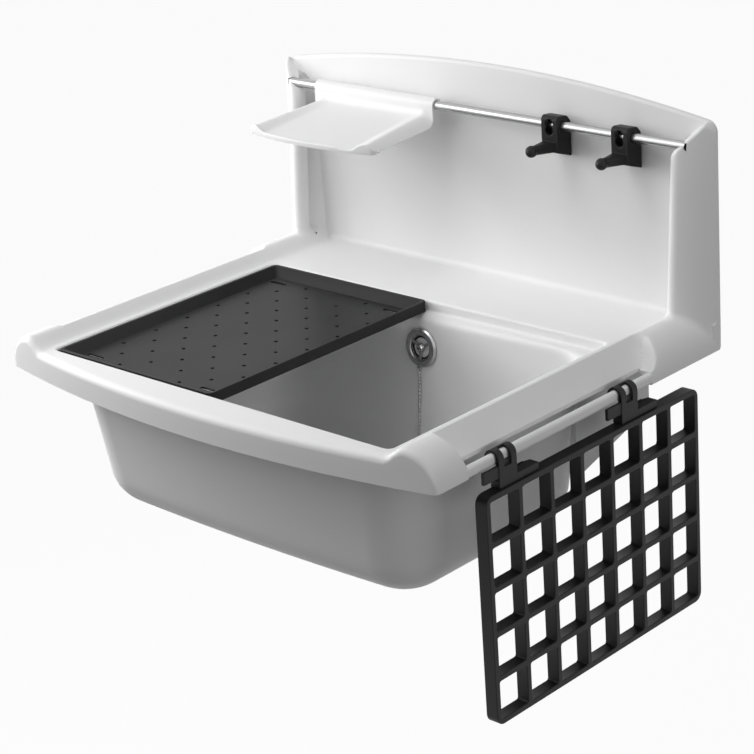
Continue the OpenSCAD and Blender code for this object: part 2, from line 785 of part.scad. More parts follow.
module grating_clip(y0) {
    leg_in = bar_x + clip_r;
    leg_out = leg_in + clip_t;
    color(black)
    translate([0, y0, 0]) {
        // the saddle, its leg and its inner tip, with a window over the bar
        difference() {
            along_y(0, clip_w)
                difference() {
                    union() {
                        translate([bar_x, bar_z])
                            circle(r = clip_r + clip_t);
                        translate([bar_x, -grid_top + 0.05])
                            square([clip_r + clip_t, bar_z + grid_top]);
                    }
                    translate([bar_x, bar_z])
                        circle(r = clip_r);
                    translate([bar_x - bar_h, -grid_top])
                        square([bar_h, bar_z + grid_top - 1]);
                    translate([bar_x - 1, -grid_top])
                        square([clip_r + 1, bar_z + grid_top]);
                }
            translate([bar_x - 1, clip_w / 2 - 5, bar_z - 8])
                cube([bar_h, 10, lip_h]);
        }
        // the nub that rests against the lip
        translate([half + clip_gap, 0, -lip_h - 2])
            cube([leg_in - half, clip_w, 6]);
        // the thumb tab
        translate([leg_in - 2, -21, -lip_h - 11])
            cube([clip_t + 1, 22, 12]);
        // the foot along the grating's top bar
        translate([grid_in, 0, -grid_top + 0.05])
            cube([leg_out - grid_in, 2.2 * clip_w, 8]);
        // the snap finger behind the top bar, with its wedge below
        along_y(clip_w + 6, clip_w + 24)
            polygon([[grid_in + 3, lap - grid_top], [grid_in + 3, 8 - grid_top],
                     [grid_in - 3, 8 - grid_top], [grid_in - 3, -grid_top - grid_bar - 8],
                     [grid_in + 1, -grid_top - grid_bar - 8], [grid_in + 6, -grid_top - grid_bar - 0.3],
                     [grid_in - lap, -grid_top - grid_bar - 0.3], [grid_in - lap, lap - grid_top]]);
    }
}

module grating_clip_front() {
    grating_clip(-clip_front);
}

module grating_clip_rear() {
    grating_clip(-clip_front + clip_pitch);
}

// ---- the overflow ----

// Places a piece on the bowl's rear wall: its +Z points into the bowl, Z = 0 on the inner face
module on_rear_wall() {
    translate([0, inner_rear_y(-overflow_z), -overflow_z])
        rotate([90 - wall_lean, 0, 0])
            children();
}

module overflow_rosette() {
    ring_r = rosette_d / 2;
    dish_r = ring_r * 0.63;
    color(steel)
    on_rear_wall() {
        rotate_extrude()
            polygon([[dish_r, 0.05], [ring_r, 0.05], [ring_r, 1.2], [ring_r - 2, rosette_t],
                     [dish_r + 1.5, rosette_t], [dish_r, rosette_t - 1]]);
        difference() {
            cylinder(r = 5, h = rosette_t);
            translate([0, 0, -1])
                cylinder(r = 2.7, h = 10);
        }
        for (a = [30, 150, 270])
            rotate([0, 0, a])
                translate([4.2, -1.6, 0.05])
                    cube([dish_r - 3.7, 3.2, 2]);
        // the lug that holds the chain, proud of the wall
        difference() {
            translate([-2.5, -ring_r - 3.4, rosette_t - 0.2])
                cube([5, 6.4, 1.6]);
            translate([0, -ring_r - 1.6, 0])
                cylinder(r = 1.2, h = 12);
        }
    }
}

module overflow_screw() {
    color(steel)
    on_rear_wall()
        difference() {
            union() {
                translate([0, 0, rosette_t + lap])
                    cylinder(r1 = 4.4, r2 = 3.4, h = 2);
                translate([0, 0, -15])
                    cylinder(r = screw_r, h = 16 + rosette_t);
            }
            translate([-5, -0.5, rosette_t + 1])
                cube([10, 1, 2]);
        }
}

module overflow_seal() {
    color(rubber)
    on_rear_wall()
        translate([0, 0, -wall - 2 - lap])
            rotate_extrude()
                translate([overflow_neck_r + 0.5, 0])
                    square([6, 2]);
}

module overflow_elbow() {
    neck_in = overflow_neck_r - 2;
    color(black) {
        difference() {
            union() {
                on_rear_wall() {
                    translate([0, 0, -wall - 5 - 2 * lap])
                        cylinder(r = overflow_neck_r + 7, h = 3);
                    translate([0, 0, -wall - elbow_l])
                        cylinder(r = overflow_neck_r, h = elbow_l + wall - lap);
                }
                translate([0, -elbow_y, -overflow_z - elbow_drop])
                    cylinder(r = hose_in_r - 0.1, h = elbow_drop);
            }
            on_rear_wall()
                translate([0, 0, 2 - wall - elbow_l])
                    cylinder(r = neck_in, h = wall + elbow_l);
            translate([0, -elbow_y, -overflow_z - elbow_drop - 1])
                cylinder(r = hose_in_r - 2, h = elbow_drop + 1);
        }
        on_rear_wall()
            difference() {
                translate([0, 0, 1 - wall - elbow_l])
                    cylinder(r = 4.5, h = elbow_l);
                translate([0, 0, -16])
                    cylinder(r = screw_r + lap, h = 30);
            }
    }
}

// ---- the hose, the chain and the plug ----

// One tube along the hose's route: down behind the bowl, round a bend and forward below it
module hose_route(r) {
    top = -overflow_z - elbow_drop + 14;
    translate([0, -elbow_y, hose_bend - hose_z])
        cylinder(r = r, h = top + hose_z - hose_bend);
    translate([0, -elbow_y - hose_bend, hose_bend - hose_z])
        rotate([0, 90, 0])
            rotate_extrude(angle = 90)
                translate([hose_bend, 0])
                    circle(r = r);
    translate([0, -elbow_y - hose_bend, -hose_z])
        rotate([90, 0, 0])
            cylinder(r = r, h = inlet_y - elbow_y - hose_bend);
}

module overflow_hose() {
    rib = 1;
    color(rubber)
    difference() {
        union() {
            hose_route(hose_d / 2 - rib);
            for (z = [4:4:hose_z - hose_bend - overflow_z - elbow_drop - 4])
                translate([0, -elbow_y, hose_bend - hose_z + z])
                    cylinder(r = hose_d / 2, h = 2);
            for (y = [4:4:inlet_y - elbow_y - hose_bend - 14])
                translate([0, -elbow_y - hose_bend - y, -hose_z])
                    rotate([90, 0, 0])
                        cylinder(r = hose_d / 2, h = 2);
        }
        hose_route(hose_in_r);
    }
}

// One eye of round wire, standing in the plane across X
module eye(p) {
    translate([0, p[0], p[1]])
        rotate([0, 90, 0])
            rotate_extrude($fn = 32)
                translate([eye_r, 0])
                    circle(r = wire_r, $fn = 16);
}

module plug_chain() {
    color(steel) {
        eye([chain_y0, chain_z0 + eye_r]);
        eye([ring_end_y, plug_eye_z]);
        for (i = [0:chain_n]) {
            p = chain_at(i * ball_pitch);
            q = i == chain_n ? [ring_end_y + eye_r, plug_eye_z] : chain_at((i + 1) * ball_pitch);
            translate([0, p[0], p[1]])
                sphere(r = ball_r, $fn = 20);
            translate([0, p[0], p[1]])
                rotate([atan2(p[0] - q[0], q[1] - p[1]), 0, 0])
                    cylinder(r = 0.5, h = norm(q - p), $fn = 16);
        }
    }
}

module plug_ring() {
    color(steel)
    translate([0, plug_ring_r - waste_y, plug_eye_z])
        rotate_extrude()
            translate([plug_ring_r, 0])
                circle(r = 0.8, $fn = 24);
}

module plug() {
    r = drain_bore_r;
    color(rubber)
    translate([0, -waste_y, 0]) {
        rotate_extrude()
            polygon([[0, web_z + 4], [r - 1.4, web_z + 4], [r - 0.4, flange_z], [r - 0.4, plug_top],
                     [r + 4, plug_top], [r + 4, plug_top + 1], [r + 2.5, plug_top + 2], [0, plug_top + 2]]);
        difference() {
            translate([-1.5, -4, plug_top + 1])
                cube([3, 8, 8]);
            translate([-2, 0, plug_eye_z])
                rotate([0, 90, 0])
                    cylinder(r = 1.9, h = 4);
        }
    }
}

// ---- the waste ----

// Four spokes with a bored boss in the middle, from z to z + h
module web(r, boss, bore, z, h) {
    difference() {
        union() {
            translate([0, 0, z])
                cylinder(r = boss, h = h);
            for (a = [0, 90])
                rotate([0, 0, a])
                    translate([-r, -1.5, z])
                        cube([2 * r, 3, h]);
        }
        translate([0, 0, z - 1])
            cylinder(r = bore, h = h + 2);
    }
}

module drain_flange() {
    r = drain_bore_r;
    color(steel)
    translate([0, -waste_y, 0]) {
        rotate_extrude()
            polygon([[r, web_z - 4], [drain_neck_r, web_z - 4], [drain_neck_r, flange_z],
                     [drain_flange_r, flange_z], [drain_flange_r, flange_z + flange_t / 2],
                     [drain_flange_r - 2, flange_z + flange_t], [r + 1, flange_z + flange_t],
                     [r, flange_z + flange_t - 1]]);
        web(r + 0.5, 6, drain_screw_r + 0.2, web_z - 3, 3);
    }
}

module drain_seal() {
    color(rubber)
    translate([0, -waste_y, seat_z + lap])
        rotate_extrude()
            translate([drain_neck_r + 0.5, 0])
                square([drain_flange_r - drain_neck_r - 1, seal_t]);
}

module drain_screw() {
    color(steel)
    translate([0, -waste_y, 0])
        difference() {
            union() {
                translate([0, 0, web_z + lap])
                    cylinder(r1 = 5, r2 = 4, h = 2.5);
                translate([0, 0, tail_z + 6])
                    cylinder(r = drain_screw_r, h = web_z - tail_z - 5);
            }
            translate([-6, -0.7, web_z + 1.3])
                cube([12, 1.4, 2]);
        }
}

module waste_seal() {
    color(rubber)
    translate([0, -waste_y, pad_z - waste_seal_t - lap])
        rotate_extrude()
            translate([drain_neck_r + 1, 0])
                square([waste_r + 3 - drain_neck_r, waste_seal_t]);
}

module waste_body() {
    r = waste_r;
    tail_r = waste_tail_d / 2;
    bore_r = tail_r - 2.5;
    color(white)
    translate([0, -waste_y, 0]) {
        difference() {
            union() {
                rotate_extrude()
                    polygon([[drain_neck_r + 0.6, waste_z], [r + 4, waste_z], [r + 4, waste_z - 4],
                             [r, waste_z - 4], [r, tail_z + 9], [tail_r, tail_z],
                             [tail_r, tail_z - waste_tail_l], [bore_r, tail_z - waste_tail_l],
                             [bore_r, tail_z + 2], [r - 3, tail_z + 10], [r - 3, waste_z - 6],
                             [drain_neck_r + 0.6, waste_z - 4]]);
                translate([0, r - 1.5, -hose_z])
                    rotate([-90, 0, 0])
                        cylinder(r = hose_in_r - 0.1, h = waste_y - inlet_y + 13 - r);
            }
            translate([0, r - 5, -hose_z])
                rotate([-90, 0, 0])
                    cylinder(r = hose_in_r - 2, h = 40);
        }
        web(bore_r + 4, 6, drain_screw_r + lap, tail_z + 5, 5);
    }
}

sink_moulding();
steel_rail();
soap_tray();
hook_left();
hook_right();
drainer_tray();
side_grating();
grating_clip_front();
grating_clip_rear();
overflow_rosette();
overflow_screw();
overflow_seal();
overflow_elbow();
overflow_hose();
plug_chain();
plug_ring();
plug();
drain_flange();
drain_seal();
drain_screw();
waste_seal();
waste_body();
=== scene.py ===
import math
import bmesh
import bpy
import numpy as np
from mathutils import Matrix


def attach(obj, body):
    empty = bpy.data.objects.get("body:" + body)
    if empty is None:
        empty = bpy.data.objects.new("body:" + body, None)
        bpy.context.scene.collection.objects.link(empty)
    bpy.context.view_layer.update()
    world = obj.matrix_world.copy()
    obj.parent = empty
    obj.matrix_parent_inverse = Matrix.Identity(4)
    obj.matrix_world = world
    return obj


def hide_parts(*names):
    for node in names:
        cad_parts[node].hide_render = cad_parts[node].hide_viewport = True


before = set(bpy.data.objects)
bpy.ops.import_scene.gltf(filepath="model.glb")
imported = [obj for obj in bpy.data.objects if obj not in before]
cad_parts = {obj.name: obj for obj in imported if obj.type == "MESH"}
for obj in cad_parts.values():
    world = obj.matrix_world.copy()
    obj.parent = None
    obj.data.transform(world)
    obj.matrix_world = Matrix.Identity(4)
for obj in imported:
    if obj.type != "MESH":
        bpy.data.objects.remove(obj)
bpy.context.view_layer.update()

# A wall-hung mop service sink, dressed piece by piece in the order in which it is put together.
# Sizes are in millimetres and become metres where a mesh is made. X runs along the wall, the wall
# is the plane Y = 0, and Z = 0 is the level of the deck.


# ---- Camera, light and floor ----
# The view is from in front, to the right and above, with a long lens. Broad lamps stand to the
# left, in front and above, and one far off to the right; floor and surroundings show white.
TURN, TILT, ROLL = math.radians(44.21), math.radians(21.15), math.radians(-4.10)
EYE = (1.6092, -1.8542, 0.8345)
LENS, SENSOR = 111.68, 36

level = np.array([math.cos(TURN), math.sin(TURN), 0])
ahead = np.array([-math.sin(TURN) * math.cos(TILT), math.cos(TURN) * math.cos(TILT),
                  -math.sin(TILT)])
above = np.cross(level, ahead)
across = math.cos(ROLL) * level + math.sin(ROLL) * above
upward = math.cos(ROLL) * above - math.sin(ROLL) * level
camera = bpy.data.objects.new("camera", bpy.data.cameras.new("camera"))
camera.data.lens = LENS
camera.data.sensor_width = SENSOR
camera.data.clip_end = 50
camera.matrix_world = Matrix([[across[i], upward[i], -ahead[i], EYE[i]] for i in range(3)]
                             + [[0, 0, 0, 1]])
bpy.context.scene.collection.objects.link(camera)
bpy.context.scene.camera = camera
bpy.context.scene.view_settings.view_transform = "Standard"


def lamp(name, place, target, size, power):
    """An area lamp of the given size at place, turned to shine on target."""
    light = bpy.data.lights.new(name, "AREA")
    light.shape = "DISK"
    light.size = size
    light.energy = power
    thing = bpy.data.objects.new(name, light)
    z = np.array(place, float) - np.array(target, float)
    z /= np.linalg.norm(z)
    x = np.cross([0, 0, 1], z)
    x /= np.linalg.norm(x)
    y = np.cross(z, x)
    thing.matrix_world = Matrix([[x[i], y[i], z[i], place[i]] for i in range(3)] + [[0, 0, 0, 1]])
    bpy.context.scene.collection.objects.link(thing)


MIDDLE = (0, -0.22, 0)
lamp("side_lamp", (-1.40, -0.50, 0.30), MIDDLE, 0.8, 9.2)
lamp("low_lamp", (-0.95, -0.45, 0.25), MIDDLE, 0.5, 1.25)
lamp("key_lamp", (-0.90, -0.90, 0.60), MIDDLE, 0.8, 5.5)
lamp("front_lamp", (-0.30, -0.90, 1.30), MIDDLE, 0.8, 3.8)
lamp("high_lamp", (-0.10, -0.75, 1.60), MIDDLE, 1.0, 3.4)
lamp("right_lamp", (3.05, -0.36, 0.96), MIDDLE, 2.4, 23.0)


def worked_out(tree, operation, *values):
    """The output of a Math node whose inputs are numbers or other nodes' outputs."""
    node = tree.nodes.new("ShaderNodeMath")
    node.operation = operation
    for socket, value in zip(node.inputs, values):
        if isinstance(value, (int, float)):
            socket.default_value = value
        else:
            tree.links.new(value, socket)
    return node.outputs[0]


def ray_share(tree):
    """1 for rays that see a thing directly, in gloss or through glass, and 0 for diffuse ones."""
    path = tree.nodes.new("ShaderNodeLightPath")
    share = path.outputs["Is Camera Ray"]
    for kind in ("Is Glossy Ray", "Is Transmission Ray"):
        share = worked_out(tree, "MAXIMUM", share, path.outputs[kind])
    return share


SURROUND = 0.975
PATCHES = (((-0.707, -0.707, 0), 0.30), ((0, 0, 1), 0.43))
world = bpy.data.worlds.new("surroundings")
bpy.context.scene.world = world
world.use_nodes = True
tree = world.node_tree
tree.nodes.clear()
dim = tree.nodes.new("ShaderNodeBackground")
dim.inputs["Color"].default_value = (1, 1, 1, 1)
way = tree.nodes.new("ShaderNodeTexCoord")
strength = 0
for axis, most in PATCHES:
    # a broad soft patch of light round the axis, falling as the square of the cosine
    facing = tree.nodes.new("ShaderNodeVectorMath")
    facing.operation = "DOT_PRODUCT"
    facing.inputs[1].default_value = axis
    tree.links.new(way.outputs["Generated"], facing.inputs[0])
    near_side = worked_out(tree, "MAXIMUM", facing.outputs["Value"], 0)
    square = worked_out(tree, "POWER", near_side, 2)
    strength = worked_out(tree, "MULTIPLY_ADD", square, most, strength)
tree.links.new(strength, dim.inputs["Strength"])
bright = tree.nodes.new("ShaderNodeBackground")
bright.inputs["Color"].default_value = (SURROUND, SURROUND, SURROUND, 1)
bright.inputs["Strength"].default_value = 1.0
mix = tree.nodes.new("ShaderNodeMixShader")
out = tree.nodes.new("ShaderNodeOutputWorld")
tree.links.new(ray_share(tree), mix.inputs[0])
tree.links.new(dim.outputs[0], mix.inputs[1])
tree.links.new(bright.outputs[0], mix.inputs[2])
tree.links.new(mix.outputs[0], out.inputs["Surface"])

FLOOR_Z, FLOOR_HALF = -0.86, 9
FLOOR_GREY, GLOW_GREY, GLOW, GLOW_SHARE = 0.25, 0.93, 1.2, 0.85
floor_mesh = bpy.data.meshes.new("floor")
floor_mesh.from_pydata([(x * FLOOR_HALF, y * FLOOR_HALF, FLOOR_Z)
                        for x, y in ((-1, -1), (1, -1), (1, 1), (-1, 1))], [], [(0, 1, 2, 3)])
floor = bpy.data.objects.new("floor", floor_mesh)
bpy.context.scene.collection.objects.link(floor)
pale = bpy.data.materials.new("pale_floor")
pale.use_nodes = True
tree = pale.node_tree
tree.nodes.clear()
matt = tree.nodes.new("ShaderNodeBsdfDiffuse")
matt.inputs["Color"].default_value = (FLOOR_GREY, FLOOR_GREY, FLOOR_GREY, 1)
glow = tree.nodes.new("ShaderNodeEmission")
glow.inputs["Color"].default_value = (GLOW_GREY, GLOW_GREY, GLOW_GREY, 1)
glow.inputs["Strength"].default_value = GLOW
mix = tree.nodes.new("ShaderNodeMixShader")
out = tree.nodes.new("ShaderNodeOutputMaterial")
tree.links.new(worked_out(tree, "MULTIPLY", ray_share(tree), GLOW_SHARE), mix.inputs[0])
tree.links.new(matt.outputs[0], mix.inputs[1])
tree.links.new(glow.outputs[0], mix.inputs[2])
tree.links.new(mix.outputs[0], out.inputs["Surface"])
floor_mesh.materials.append(pale)


# ---- The moulding ----
# One shell of white polymer, cast or foamed in a mould: bowl, rebate, rim with raised side rails,
# splashback and two hollow fins. Every column of its grid is one closed section of the shell.
MM = 0.001
HALF, CORNER_Y, BOW, RIM_R = 300.0, -443.0, 33.0, 5.0
LIP_Z, LIP_R, SIDE_Z, WALL = -30.0, 1.2, -26.0, 5.0
HUMP_H, RISE_X, CREST_X = 12.0, 245.0, 265.9
FRONT_R = 8.0
OPEN_HALF, OPEN_FRONT, OPEN_BACK, OPEN_R = 238.0, -435.0, -109.0, 6.0
OPEN_EDGE_R = 3.5
REBATE_Z, LEDGE_R = -12.0, 12.0
REBATE_CORNER = ((0, -9.5), (0.15, -10.7), (0.6, -11.6))
POCKET_X, POCKET_FRONT, POCKET_BACK, POCKET_R = 262.0, -407.0, -93.5, 14.0
POCKET_TOP, POCKET_FLOOR, POCKET_EDGE_R, POCKET_FOOT_R = 14.0, -17.5, 2.5, 3.0
POCKET_SLOPE, FRONT_SLOPE, SCOOP_RUN, SCOOP_POWER = 1.33, 3.6, 25.0, 1.8
# behind its rear edge the pocket's depth falls off this steeply, so that nothing is cut there
BEHIND_SLOPE = 50.0
SLOT_IN, SLOT_FRONT, SLOT_BACK = 283.5, -398.0, -118.0
BAR_R, BAR_TOP, BAR_FOOT = 4.0, -17.5, -29.5
SIDE_TAPER, FRONT_TAPER, BACK_TAPER = 0.088, 0.127, 0.114
BOWL_HALF, BOWL_FRONT, BOWL_BACK, BOWL_BOW, BOWL_R = 243.0, -428.4, -117.6, 6.0, 55.0
BOWL_Z, FOOT_R, FLOOR_CORNER, BOX_CORNER = -184.0, 48.0, 7.0, 9.0
LEAN = math.radians(6.2)
WASTE_Y, SEAT_R, SEAT_DEPTH, HOLE_R, PAD_R = -232.0, 36.0, 3.0, 22.5, 42.0
COLUMNS = (96, 156, 96)
CORNER_COLUMNS = 8
# the sides' columns crowd at the pocket's front and rear ends: by how much, where and how far
CROWDS = ((2.5, 0.08, 0.035), (0.8, 0.8, 0.08))
RIM_ROWS = 42


def ring(half, front, back, bow, front_r, back_r):
    """A closed outline seen from above, as rows of (x, y).

    It is the rectangle from x = -half to half and y = front to back, whose front edge bulges by
    bow as a parabola, with arcs of front_r and back_r at its corners.
    """
    slope = math.atan(2 * bow / half)
    x1 = half - front_r + front_r * math.sin(slope)
    y1 = front - bow * (1 - (x1 / half) ** 2)
    cy = y1 + front_r * math.cos(slope)
    n_front, n_side, n_back = COLUMNS
    t = np.arange(1, n_front + 1) / (n_front + 1)
    x = x1 * (2 * t - 1)
    a = np.linspace(slope - math.pi / 2, 0, CORNER_COLUMNS + 1)
    b = np.linspace(0, math.pi / 2, CORNER_COLUMNS + 1)
    even = np.linspace(0, 1, 801)
    crowd = np.cumsum(1 + sum(much * np.exp(-((even - place) / reach) ** 2)
                              for much, place, reach in CROWDS))
    s = np.interp(np.arange(1, n_side + 1) / (n_side + 1), crowd / crowd[-1], even)
    r = np.arange(1, n_back + 1) / (n_back + 1)
    side_y = cy + (back - back_r - cy) * s
    front_arc = np.c_[half - front_r + front_r * np.cos(a), cy + front_r * np.sin(a)]
    back_arc = np.c_[half - back_r + back_r * np.cos(b), back - back_r + back_r * np.sin(b)]
    right_part = np.r_[front_arc, np.c_[np.full(n_side, half), side_y], back_arc]
    left_part = right_part[::-1] * (-1, 1)
    back_x = (half - back_r) * (1 - 2 * r)
    return np.r_[np.c_[x, front - bow * (1 - (x / half) ** 2)], right_part,
                 np.c_[back_x, np.full(n_back, back)], left_part]


def smooth_min(a, b, k):
    """The lesser of a and b, with the crease between them rounded over a height of k."""
    h = np.clip(0.5 + 0.5 * (b - a) / k, 0, 1)
    return b * (1 - h) + a * h - k * h * (1 - h)


def round_off(d, r):
    """How far a quarter circle of radius r lies below its top at the distance d from its edge."""
    return r - np.sqrt(np.maximum(r * r - (r - np.clip(d, 0, r)) ** 2, 0))


def inside_distance(x, y, r):
    """Distance inward from the two edges x = 0 and y = 0, which meet in an arc of radius r."""
    u, v = r - x, r - y
    return np.where((u > 0) & (v > 0), r - np.hypot(u, v), np.minimum(x, y))


def rim_top(x, y):
    """Height of the moulding's upper surface above the point (x, y).

    Across the sink it is flat, rises by a half cosine wave to the side rail's crest and falls to
    the lip as a quarter ellipse. A pocket is taken out of the rail's outside: its wall and its
    front end slope, and its rear end is a scoop that falls as a power of the way. The front edge
    and the edge of the opening are rounded off by quarter circles.
    """
    ax = np.abs(x)
    rise = HUMP_H * (1 - np.cos(np.pi * np.clip((ax - RISE_X) / (CREST_X - RISE_X), 0, 1))) / 2
    fall = np.clip((ax - CREST_X) / (HALF - CREST_X), 0, 1)
    z = np.where(ax < CREST_X, rise, SIDE_Z + (HUMP_H - SIDE_Z) * np.sqrt(1 - fall ** 2))
    t = (POCKET_BACK - y) / SCOOP_RUN
    scoop = np.where(t < 1, 1 - np.maximum(1 - t, 0) ** SCOOP_POWER, t)
    scoop = np.where(t < 0, t * BEHIND_SLOPE, scoop * (POCKET_TOP - POCKET_FLOOR))
    along = np.minimum((y - POCKET_FRONT) * FRONT_SLOPE, scoop) / POCKET_SLOPE
    depth = inside_distance(ax - POCKET_X, along, POCKET_R)
    wall_z, floor_z = POCKET_TOP - POCKET_SLOPE * depth, np.full_like(x, POCKET_FLOOR)
    z = smooth_min(z, -smooth_min(-wall_z, -floor_z, POCKET_FOOT_R), POCKET_EDGE_R)
    front = CORNER_Y - BOW * (1 - (x / HALF) ** 2)
    z = z - round_off(y - front, FRONT_R)
    dx = ax - OPEN_HALF + OPEN_R
    dy = np.abs(y - (OPEN_FRONT + OPEN_BACK) / 2) - (OPEN_BACK - OPEN_FRONT) / 2 + OPEN_R
    gap = (np.hypot(np.maximum(dx, 0), np.maximum(dy, 0)) + np.minimum(np.maximum(dx, dy), 0)
           - OPEN_R)
    return z - round_off(gap, OPEN_EDGE_R)


def grid_faces(rows, columns, wrap_rows):
    """Quads of a grid whose columns close into a loop, and whose rows do so too if wrap_rows."""
    i = np.arange(rows if wrap_rows else rows - 1)[:, None]
    j = np.arange(columns)[None, :]
    a, b = i * columns + j, i * columns + (j + 1) % columns
    c, d = ((i + 1) % rows) * columns + (j + 1) % columns, ((i + 1) % rows) * columns + j
    return np.stack([a, b, c, d], -1).reshape(-1, 4).tolist()


def shade_smooth(mesh, sharp):
    """Shades a mesh smoothly, apart from its edges over the angle sharp, in degrees."""
    mesh.polygons.foreach_set("use_smooth", np.ones(len(mesh.polygons), bool))
    mesh.set_sharp_from_angle(angle=math.radians(sharp))


def piece(name, points, faces, sharp=35):
    """A smoothly shaded mesh object at the origin, from points in millimetres and faces."""
    mesh = bpy.data.meshes.new(name)
    mesh.from_pydata((np.asarray(points) * MM).tolist(), [], [tuple(f) for f in faces])
    mesh.update()
    shade_smooth(mesh, sharp)
    thing = bpy.data.objects.new(name, mesh)
    bpy.context.scene.collection.objects.link(thing)
    return thing


def tub_rows():
    """The tub's sections as rows of a grid, from the lip over the rim into the bowl and back."""
    def level_row(plan, z):
        return np.c_[plan, np.broadcast_to(z, len(plan))]

    outer = ring(HALF, CORNER_Y, 0, BOW, RIM_R, 1.5)
    opening = ring(OPEN_HALF, OPEN_FRONT, OPEN_BACK, 0, OPEN_R, OPEN_R)
    rows = [level_row(outer * (1 - LIP_R / HALF), LIP_Z), level_row(outer, LIP_Z + LIP_R)]
    edge_z = rim_top(*outer.T)
    for f in (0.33, 0.66):
        rows.append(level_row(outer, LIP_Z + LIP_R + (edge_z - LIP_Z - LIP_R) * f))
    for f in 0.5 - 0.5 * np.cos(np.pi * np.arange(RIM_ROWS + 1) / RIM_ROWS):
        plan = outer * (1 - f) + opening * f
        rows.append(level_row(plan, rim_top(*plan.T)))
    # the rebate: its wall, its inner corner and the ledge with a rounded edge
    def rebate(inset):
        return ring(OPEN_HALF - inset, OPEN_FRONT + inset, OPEN_BACK - inset, 0, OPEN_R, OPEN_R)

    for inset, z in REBATE_CORNER:
        rows.append(level_row(rebate(inset), z))
    ledge = rebate(1)

    def bowl(z, skin):
        """The bowl's outline at the height z, drawn in by skin: its walls lean outward."""
        return ring(BOWL_HALF + SIDE_TAPER * z - skin, BOWL_FRONT - FRONT_TAPER * z + skin,
                    BOWL_BACK + BACK_TAPER * z - skin, BOWL_BOW, BOWL_R - skin, BOWL_R - skin)

    foot_z = BOWL_Z + FOOT_R
    top = bowl(REBATE_Z, WALL)
    width = np.linalg.norm(ledge - top, axis=1)
    r = np.minimum(LEDGE_R, 0.85 * width)
    for a in np.linspace(0, math.pi / 2, 6):
        plan = top + (ledge - top) * (r / width * (1 - math.sin(a)))[:, None]
        rows.append(level_row(plan, REBATE_Z - r * (1 - math.cos(a))))
    start = REBATE_Z - r
    low = foot_z - (FOOT_R - WALL) * math.sin(LEAN)
    bottom = bowl(low, WALL)
    for f in np.arange(1, 13) / 12:
        rows.append(level_row(top * (1 - f) + bottom * f, start + (low - start) * f))

    def foot(skin):
        """Rows of the quarter circle from the wall into the floor, each an outline drawn in."""
        radius = FOOT_R - skin
        edge = radius / math.cos(LEAN)
        made = []
        for a in np.linspace(LEAN, math.pi / 2, 13)[1:]:
            inset = edge - radius * math.cos(a)
            corner = BOWL_R - skin - (BOWL_R - skin - FLOOR_CORNER) * (inset / edge)
            half = BOWL_HALF + SIDE_TAPER * foot_z - skin - inset
            plan = ring(half, BOWL_FRONT - FRONT_TAPER * foot_z + skin + inset,
                        BOWL_BACK + BACK_TAPER * foot_z - skin - inset, BOWL_BOW, corner, corner)
            made.append(level_row(plan, foot_z - radius * math.sin(a)))
        return made

    inner_foot = foot(WALL)
    rows += inner_foot
    rim_of_floor = inner_foot[-1][:, :2]
    turn = np.arctan2(rim_of_floor[:, 1] - WASTE_Y, rim_of_floor[:, 0])

    def round_row(r, z):
        return np.c_[r * np.cos(turn), WASTE_Y + r * np.sin(turn), np.full(len(turn), z)]

    floor_z = BOWL_Z + WALL
    circle = round_row(SEAT_R + 3, floor_z)
    for f in np.arange(1, 8) / 8:
        rows.append(inner_foot[-1] * (1 - f) + circle * f)
    seat_z, pad_z = floor_z - SEAT_DEPTH, BOWL_Z - SEAT_DEPTH
    rows += [circle, round_row(SEAT_R + 0.8, floor_z - 0.6), round_row(SEAT_R, floor_z - 1.6),
             round_row(SEAT_R, seat_z), round_row(HOLE_R, seat_z), round_row(HOLE_R, pad_z),
             round_row(PAD_R, pad_z), round_row(PAD_R + 1, BOWL_Z)]
    outer_foot = foot(0)[::-1]
    for f in np.arange(1, 4) / 4:
        rows.append(round_row(PAD_R + 1, BOWL_Z) * (1 - f) + outer_foot[0] * f)
    rows += outer_foot
    low = foot_z - FOOT_R * math.sin(LEAN)
    for z in np.linspace(low, REBATE_Z - WALL, 10):
        rows.append(level_row(bowl(z, 0), z))
    # under the deck: the outside of the rebate, the skin's underside and the inside of the lip
    box = ring(BOWL_HALF, OPEN_FRONT - WALL, OPEN_BACK + WALL, 0, BOX_CORNER, BOX_CORNER)
    rows.append(level_row(box, REBATE_Z - WALL))
    lip = ring(HALF - WALL, CORNER_Y + WALL, -WALL, BOW, RIM_R - WALL + 2, 1.5)
    for f in 0.5 - 0.5 * np.cos(np.pi * np.arange(13) / 12):
        plan = box * (1 - f) + lip * f
        rows.append(level_row(plan, rim_top(*plan.T) - WALL))
    under = rows[-1][:, 2]
    for f in (0.5, 1):
        rows.append(level_row(lip, under + (LIP_Z - under) * f))
    return rows


def tub():
    """The tub's closed shell: its grid closes round the opening and round each section."""
    rows = tub_rows()
    faces = grid_faces(len(rows), len(rows[0]), True)
    return piece("tub", np.concatenate(rows), [f[::-1] for f in faces])


SPLASH_H, SPLASH_DROP, SPLASH_FOOT, SPLASH_CORNER, SPLASH_EDGE = 237.0, 26.0, -14.0, 10.0, 4.5
DECK_FILLET = 7.0


def dome(x):
    """Height of the splashback's edge at x: a circle's arc, rounded off at both ends."""
    radius = (HALF ** 2 + SPLASH_DROP ** 2) / (2 * SPLASH_DROP)
    arc = SPLASH_H - radius + np.sqrt(radius ** 2 - x ** 2)
    return arc - round_off(HALF - np.abs(x), SPLASH_CORNER)


